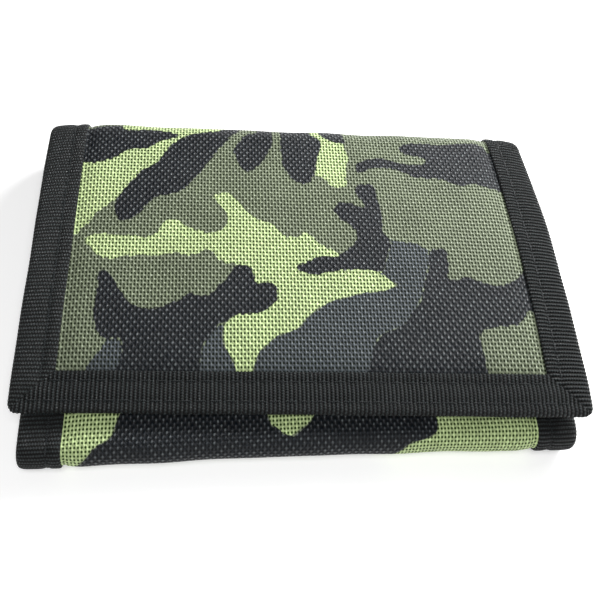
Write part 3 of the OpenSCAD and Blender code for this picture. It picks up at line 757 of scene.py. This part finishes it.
# ---------------------------------------------------------------- stitches
def stitches(name, part, lines, pitch=3.3, slot="edge_tape"):
    """One object of thread stitches along lines of (x, s, depth); a stitch stands over the cloth and dips at both ends."""
    gap, r, along, turns = 0.55, 0.17, 9, 6
    verts, faces, fab = [], [], []
    for line in lines:
        run = np.concatenate([[0], np.cumsum(np.linalg.norm(np.diff(line, axis=0), axis=1))])
        outward = 1 if line[0, 2] < 1.25 else -1
        for k in range(int(run[-1] // pitch)):
            t = np.linspace(k * pitch + gap / 2, (k + 1) * pitch - gap / 2, along)
            f = np.linspace(-1, 1, along)
            p = np.stack([np.interp(t, run, line[:, c]) for c in range(3)], -1)
            lift = 0.16 * (1 - np.abs(f) ** 3)
            thick = (r * np.sqrt(np.clip(1 - np.abs(f) ** 6, 0.05, 1)))[:, None]
            heading = p[-1, :2] - p[0, :2]
            heading = heading / (np.linalg.norm(heading) + 1e-9)
            a = np.arange(turns) / turns * 2 * np.pi
            px = p[:, 0, None] - heading[1] * thick * np.cos(a)
            ps = p[:, 1, None] + heading[0] * thick * np.cos(a)
            pd = p[:, 2, None] - outward * (lift[:, None] + thick * np.sin(a) - 0.12)
            base = len(verts) * along * turns
            verts.append(place(px, ps, pd).reshape(-1, 3))
            fab.append(np.stack([np.repeat(t, turns), np.tile(a / 6, along), 0 * np.tile(a, along)], -1))
            faces += quads(along, turns, base, wrap=True)
            faces.append([base + q for q in range(turns)][::-1])
            faces.append([base + (along - 1) * turns + q for q in range(turns)])
    obj = make(name, np.concatenate(verts), faces, THREAD, {"fab": np.concatenate(fab)})
    return bend(obj, part)


def line_of(x0, s0, x1, s1, depth):
    t = np.linspace(0, 1, 200)
    return np.stack([x0 + (x1 - x0) * t, s0 + (s1 - s0) * t, depth + 0 * t], -1)


def side_line(side, a, b, d_edge, depth):
    s = np.linspace(a, b, 300)
    return np.stack([side * (half_width(s) - d_edge), s, 0 * s + depth], -1)


for part, (a, b) in (("flap", (8.0, S_TOP)), ("back_top", (S_TOP, S_MID)), ("back_bottom", (S_MID, S_BOT)), ("inner", (S_BOT, S_END - 8))):
    under = 2.8 if part == "inner" else 2.4
    lines = [side_line(side, a, b, 6.4, depth) for side, depth in ((-1, 0.24), (1, 0.24), (-1, under), (1, SHELL_ONLY - 0.1))]
    lines.append(line_of(MOUTH_X[part] - 2.6, a + 2, MOUTH_X[part] - 2.6, b, 1.22 + MOUTH_T - 0.06))
    if part == "flap":
        lines += [line_of(-64.5 + d, d, 64.5 - d, d, depth) for d in (7.2, 2.7) for depth in (0.24, 2.46)]
    if part == "inner":
        lines += [line_of(-61.5 + 6.4, S_END - 6.4, 61.5 - 6.4, S_END - 6.4, depth) for depth in (0.16, under)]
        zs = run_of("on_inner", [ZIP_Y - ZIP_OPEN - 2.2, ZIP_Y + ZIP_OPEN + 2.2])
        zx = ZIP_HALF + 2.2
        lines += [line_of(-zx, zs[0], zx, zs[0], 0.12), line_of(-zx, zs[1], zx, zs[1], 0.12),
                  line_of(-zx, zs[0], -zx, zs[1], 0.12), line_of(zx, zs[0], zx, zs[1], 0.12)]
    stitches(f"{part}_stitches", part, lines)


# ---------------------------------------------------------------- panels inside
def panel(name, part, box, material, hole=None, hem=0.0, step=1.0, swell=0.0, radius=1.5):
    """A sewn layer of cloth lying on a panel, over the room of its CAD box (low, high); hole is (x0, x1, y0, y1)."""
    low, high = box
    x = np.linspace(low[0], high[0], int((high[0] - low[0]) / step) + 2)
    y = np.linspace(low[1], high[1], int((high[1] - low[1]) / step) + 2)
    cut = None
    if hole:
        x, (c0, c1) = snap(x, hole[:2])
        y, (r0, r1) = snap(y, hole[2:])
        cut = (r0, r1, c0, c1)
    xx, yy = np.meshgrid(x, y)
    cx, cy = (low[0] + high[0]) / 2, (low[1] + high[1]) / 2
    hx, hy = (high[0] - low[0]) / 2, (high[1] - low[1]) / 2
    over = np.hypot(np.clip(np.abs(xx - cx) - hx + radius, 0, None), np.clip(np.abs(yy - cy) - hy + radius, 0, None))
    pull = np.where(over > radius, radius / np.maximum(over, 1e-6), 1)
    corner = (np.abs(xx - cx) > hx - radius) & (np.abs(yy - cy) > hy - radius)
    fx = np.where(corner, cx + np.sign(xx - cx) * (hx - radius + (np.abs(xx - cx) - hx + radius) * pull), xx)
    fy = np.where(corner, cy + np.sign(yy - cy) * (hy - radius + (np.abs(yy - cy) - hy + radius) * pull), yy)
    rim = np.minimum(hx - np.abs(xx - cx), hy - np.abs(yy - cy))
    if hole:
        off = np.maximum(np.maximum(hole[0] - xx, xx - hole[1]), np.maximum(hole[2] - yy, yy - hole[3]))
        rim = np.minimum(rim, off)
    thick = high[2] - low[2]
    shrink = np.interp(rim, [0, 0.5, 1.2], [0.28, 0.06, 0]) * thick
    shrink = shrink - hem * np.interp(rim, [0.4, 0.9, 2.6, 3.2], [0, 1, 1, 0]) + 0.04 * np.sin(xx / 4.3 + yy / 7) * np.sin(yy / 3.9)
    swelling = swell * np.clip(rim / 8, 0, 1) ** 0.6
    s = run_of(part, fy)
    d0, d1 = depth_of(part, low[2]), depth_of(part, high[2])
    sign = np.sign(d1 - d0)
    top, bottom = place(fx, s, d0 + sign * (shrink - swelling)), place(fx, s, d1 - sign * 0.4 * np.abs(shrink))
    points, faces = slab(top, bottom, cut)
    fab = np.stack([fx.ravel(), fy.ravel(), 0 * fx.ravel()], -1)
    obj = make(name, points, faces, material, {"fab": np.concatenate([fab, fab])})
    bm = bmesh.new()
    bm.from_mesh(obj.data)
    bmesh.ops.recalc_face_normals(bm, faces=bm.faces)
    bm.to_mesh(obj.data)
    bm.free()
    return bend(obj, part)


window_low, window_high = mm_box("window_pocket_frame")
RIM_W = 8.0
window_hole = (window_low[0] + RIM_W, window_high[0] - RIM_W, window_low[1] + RIM_W, window_high[1] - RIM_W)
window_frame = panel("window_pocket_cloth", "back", (np.array([*window_low[:2], window_high[2]]), np.array([*window_high[:2], window_low[2]])),
                     POCKET, window_hole, hem=0.12)
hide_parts("window_pocket_frame")
window_flat = (window_high - window_low)[:2] * MM
window_cut = (window_hole[1] - window_hole[0]) * (window_hole[3] - window_hole[2]) * MM ** 2
float(window_flat.prod() - window_cut)
top_line = window_high[2] + 0.02
w = [run_of("back", v) for v in (window_low[1] + 2, window_high[1] - 2, window_hole[2] - 1.6, window_hole[3] + 1.6)]
stitches("window_stitches", "back", [
    line_of(window_low[0] + 2, w[1], window_low[0] + 2, w[0], top_line), line_of(window_high[0] - 2, w[1], window_high[0] - 2, w[0], top_line),
    line_of(window_low[0] + 2, w[0], window_high[0] - 2, w[0], top_line),
    line_of(window_hole[0] - 1.6, w[2], window_hole[1] + 1.6, w[2], top_line), line_of(window_hole[0] - 1.6, w[3], window_hole[1] + 1.6, w[3], top_line),
    line_of(window_hole[0] - 1.6, w[2], window_hole[0] - 1.6, w[3], top_line), line_of(window_hole[1] + 1.6, w[2], window_hole[1] + 1.6, w[3], top_line)],
    pitch=2.6, slot="pocket_cloth")

for k in (1, 2, 3):
    low, high = mm_box(f"card_slot_{k}")
    card = panel(f"card_slot_{k}_cloth", "on_inner", (low, high), POCKET)
    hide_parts(f"card_slot_{k}")
    mouth = cross_tape(f"card_slot_{k}_mouth_tape", "on_inner", float(run_of("on_inner", low[1])) - 0.3, 1, total=0.95, width=MOUTH_W,
                       x0=low[0], x1=high[0], offset=float(depth_of("on_inner", high[2])) - 0.15)
    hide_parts(f"card_slot_tape_{k}")
    depth = float(depth_of("on_inner", high[2])) + 0.75
    s0, s1 = float(run_of("on_inner", low[1])), float(run_of("on_inner", high[1]))
    lines = [line_of(low[0] + 1, s0 + 2.6, high[0] - 1, s0 + 2.6, depth)]
    lines += [line_of(x, s0 + 0.5, x, s1, depth - 0.22) for x in (low[0] + 1.4, high[0] - 1.4)]
    stitches(f"card_slot_{k}_stitches", "on_inner", lines, pitch=2.6, slot="pocket_cloth")

low, high = mm_box("coin_bag")
bag = panel("coin_bag_cloth", "on_inner", (low, high), LINING, step=1.6)
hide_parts("coin_bag")

# ---------------------------------------------------------------- zip
for word in ("front", "back"):
    low, high = mm_box(f"zip_tape_{word}")
    strip = panel(f"zip_tape_{word}_woven", "on_inner", (low, high), ZIP_TAPE, radius=0.3, step=0.8)
    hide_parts(f"zip_tape_{word}")


def tube(path, r, turns=8, flat=1.0):
    """A round rod along a path (mm), with rounded ends."""
    d = np.gradient(path, axis=0)
    d /= np.linalg.norm(d, axis=1)[:, None]
    ref = np.array([0.05, 0.03, 1.0]) if abs(d[0][2]) < 0.9 else np.array([1.0, 0.0, 0.1])
    a = np.cross(d, ref)
    a /= np.linalg.norm(a, axis=1)[:, None]
    b = np.cross(a, d)
    t = np.linspace(-1, 1, len(path))
    rr = (r * np.sqrt(np.clip(1 - np.abs(t) ** 8, 0.08, 1)))[:, None, None]
    w = np.arange(turns) / turns * 2 * np.pi
    return path[:, None] + rr * (a[:, None] * np.cos(w)[None, :, None] + b[:, None] * np.sin(w)[None, :, None] * flat)


def rods(name, part, paths, r, material, turns=7, flat=1.0):
    verts, faces, base = [], [], 0
    for path in paths:
        ring = tube(path, r, turns, flat)
        m = len(path)
        verts.append(ring.reshape(-1, 3))
        faces += quads(m, turns, base, wrap=True)
        faces.append([base + q for q in range(turns)][::-1])
        faces.append([base + (m - 1) * turns + q for q in range(turns)])
        base += m * turns
    points = np.concatenate(verts)
    fab = np.stack([points[:, 0], points[:, 1], points[:, 2]], -1)
    return bend(make(name, points, faces, material, {"fab": fab}), part)


teeth = []
zx = np.arange(zip_low[0] + 0.5, zip_high[0] - 0.3, 0.62)
mid = (zip_low[2] + zip_high[2]) / 2 + 0.1
for k, x in enumerate(zx):
    side = 1 if k % 2 else -1
    t = np.linspace(0, np.pi, 9)
    y = ZIP_Y + side * (0.98 * np.cos(t / 2) ** 0.7 * 1.0 - 0.35)
    teeth.append(np.stack([x + 0.1 * np.sin(t), ZIP_Y + side * np.linspace(-0.42, 0.98, 9), mid + 0.2 * np.sin(t)], -1))
coil = rods("zip_coil_teeth", "on_inner", teeth, 0.27, ZIP_COIL, flat=1.25)
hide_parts("zip_coils")

# ---------------------------------------------------------------- hook and loop
low, high = mm_box("hook_strip")
y0, y1 = low[1], high[1]
s_rows = np.linspace(float(run_of("on_flap", y0)), float(run_of("on_flap", y1)), 22)[:, None]
x_cols = np.linspace(low[0], high[0], 92)[None]
s2 = s_rows + 0 * x_cols
edge = np.minimum.reduce([x_cols - low[0] + 0 * s2, high[0] - x_cols + 0 * s2, s2 - s2.min(), s2.max() - s2])
points, faces = slab(place(x_cols, s2, 2.0), place(x_cols, s2, 2.42 - 0.2 * (edge < 0.3)))
fab = np.stack([(x_cols + 0 * s2).ravel(), s2.ravel(), 0 * s2.ravel()], -1)
hook_base = bend(make("hook_strip_base", points, faces, ZIP_TAPE, {"fab": np.concatenate([fab, fab])}), "on_flap")
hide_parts("hook_strip")
paths = []
for r, s in enumerate(np.linspace(s_rows[0, 0] + 1.6, s_rows[-1, 0] - 1.6, 11)):
    for x in np.arange(low[0] + 1.6 + 0.5 * (r % 2), high[0] - 1.2, 1.25):
        t = np.linspace(0, 1, 7)
        bendy = np.stack([x + 0.36 * np.sin(t * 2.6) ** 2 * np.sign(0.5 - r % 2), s + 0 * t, 2.38 + 0.58 * np.sin(np.clip(t, 0, 0.75) / 0.75 * 1.45) - 0.22 * np.clip(t - 0.75, 0, 1) * 4], -1)
        paths.append(place(bendy[:, 0], bendy[:, 1], bendy[:, 2]))
rods("hook_strip_hooks", "on_flap", paths, 0.085, HOOK, turns=5)
low, high = mm_box("loop_strip")
top = depth_of("on_inner", high[2])
s_rows = np.linspace(float(run_of("on_inner", low[1])), float(run_of("on_inner", high[1])), 34)[:, None]
x_cols = np.linspace(low[0], high[0], 180)[None]
s2 = s_rows + 0 * x_cols
edge = np.minimum.reduce([x_cols - low[0] + 0 * s2, high[0] - x_cols + 0 * s2, s2 - s2.min(), s2.max() - s2])
pile = rng.normal(0, 1, s2.shape)
pile = (pile + np.roll(pile, 1, 0) + np.roll(pile, 1, 1)) * 0.05
height = np.interp(edge, [0, 0.4, 1.2, 1.8], [0.2, 0.32, 0.36, 0.5])
points, faces = slab(place(x_cols, s2, -height + 0.12 + pile * (edge > 1.4)), place(x_cols, s2, 0.5 + 0 * s2))
fab = np.stack([(x_cols + 0 * s2).ravel(), s2.ravel(), 0 * s2.ravel()], -1)
loop_base = bend(make("loop_strip_base", points, faces, LOOP, {"fab": np.concatenate([fab, fab])}), "on_inner")
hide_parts("loop_strip")
paths = []
for k in range(1500):
    x, s = rng.uniform(low[0] + 1.6, high[0] - 1.6), rng.uniform(s_rows[0, 0] + 1.6, s_rows[-1, 0] - 1.6)
    turn, size = rng.uniform(0, np.pi), rng.uniform(0.35, 0.7)
    t = np.linspace(0, np.pi, 6)
    paths.append(place(x + size * np.cos(t) * np.cos(turn), s + size * np.cos(t) * np.sin(turn), -0.32 - 0.42 * np.sin(t) * rng.uniform(0.6, 1)))
rods("loop_strip_loops", "on_inner", paths, 0.05, LOOP, turns=4)
for part, node, d, name in (("on_flap", "hook_strip", 2.5, "hook_stitches"), ("on_inner", "loop_strip", -0.16, "loop_stitches")):
    low, high = mm_box(node)
    s0, s1 = float(run_of(part, low[1])) + 0.8, float(run_of(part, high[1])) - 0.8
    x0, x1 = low[0] + 0.8, high[0] - 0.8
    stitches(name, part, [line_of(x0, s0, x1, s0, d), line_of(x0, s1, x1, s1, d), line_of(x0, s0, x0, s1, d), line_of(x1, s0, x1, s1, d)], pitch=2.6, slot=node.split("_")[0])

# ---------------------------------------------------------------- carried-over pieces
for node in ("zip_slider", "zip_pull", "zip_stops"):
    nodes[node].data.materials.clear()
    nodes[node].data.materials.append(METAL)
nodes["window_pane"].data.materials.clear()
nodes["window_pane"].data.materials.append(VINYL)

# ---------------------------------------------------------------- what the pieces replace
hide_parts("flap_shell")
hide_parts("back_shell", "top_spine_shell")
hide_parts("bottom_spine_shell")
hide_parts("inner_shell")
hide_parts("flap_lining")
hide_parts("back_lining", "top_spine_lining")
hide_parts("bottom_spine_lining")
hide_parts("inner_lining")
for word, node in (("left", "binding_left"), ("right", "binding_right"), ("mouth", "mouth_tape")):
    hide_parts(f"flap_{node}")
    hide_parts(f"back_{node}", f"top_spine_{node}")
    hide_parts(f"bottom_spine_{node}")
    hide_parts(f"inner_{node}")
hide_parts("flap_binding_front")
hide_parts("inner_binding_end")

for part, (obj, length) in outer_cloth.items():
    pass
for part, (obj, length) in linings.items():
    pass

# ---------------------------------------------------------------- camera, light, floor
elevation, azimuth, roll = np.radians([60.84, -13.39, 12.09])
aim = Vector((0.07, -6.32, 7.0)) * MM
back = Vector((np.sin(azimuth) * np.cos(elevation), -np.cos(azimuth) * np.cos(elevation), np.sin(elevation)))
right = (-back).cross(Vector((0, 0, 1))).normalized()
up = right.cross(-back)
cam_x = right * np.cos(roll) + up * np.sin(roll)
cam_y = -right * np.sin(roll) + up * np.cos(roll)
camera_data = bpy.data.cameras.new("photo_camera")
camera_data.sensor_width = 36
camera_data.lens = 765.5 / 600 * 36
camera_data.clip_start = 0.005
camera = bpy.data.objects.new("photo_camera", camera_data)
turned = Matrix((cam_x, cam_y, back)).transposed().to_4x4()
camera.matrix_world = Matrix.Translation(aim + back * 188.9 * MM) @ turned
bpy.context.scene.collection.objects.link(camera)
bpy.context.scene.camera = camera


def area_light(name, place_mm, target_mm, size_mm, power, colour=(1, 1, 1)):
    data = bpy.data.lights.new(name, "AREA")
    data.shape, data.size, data.size_y = "RECTANGLE", size_mm[0] * MM, size_mm[1] * MM
    data.energy, data.color = power, colour
    obj = bpy.data.objects.new(name, data)
    obj.location = Vector(place_mm) * MM
    obj.rotation_euler = (Vector(target_mm) - Vector(place_mm)).to_track_quat("-Z", "Y").to_euler()
    bpy.context.scene.collection.objects.link(obj)


area_light("back_softbox", (210, 215, 180), (20, 10, 5), (160, 120), 2.1)
area_light("top_softbox", (-40, -190, 450), (0, 0, 0), (300, 300), 1.52)
area_light("right_fill", (340, 170, 230), (40, 0, 0), (200, 200), 0.42)
world = bpy.data.worlds.new("studio")
world.use_nodes = True
world.node_tree.nodes["Background"].inputs[0].default_value = (1, 1, 1, 1)
world.node_tree.nodes["Background"].inputs[1].default_value = 0.12
bpy.context.scene.world = world
bpy.context.scene.view_settings.view_transform = "Standard"

floor_mesh = bpy.data.meshes.new("floor")
floor_mesh.from_pydata([(-3, -3, -0.0004), (3, -3, -0.0004), (3, 3, -0.0004), (-3, 3, -0.0004)], [], [(0, 1, 2, 3)])
floor_nodes = Nodes("floor_white")
floor_spot = floor_nodes.add("ShaderNodeTexCoord", out="Object")
floor_nodes.link(floor_nodes.mix(floor_nodes.noise(floor_spot, 3.0), (0.93, 0.93, 0.93, 1), (0.96, 0.96, 0.96, 1)), "Base Color")
floor_nodes.set(Roughness=0.9, Emission_Color=(1, 1, 1, 1), Emission_Strength=0.3)
floor_mesh.materials.append(floor_nodes.material)
floor = bpy.data.objects.new("floor", floor_mesh)
bpy.context.scene.collection.objects.link(floor)

import json
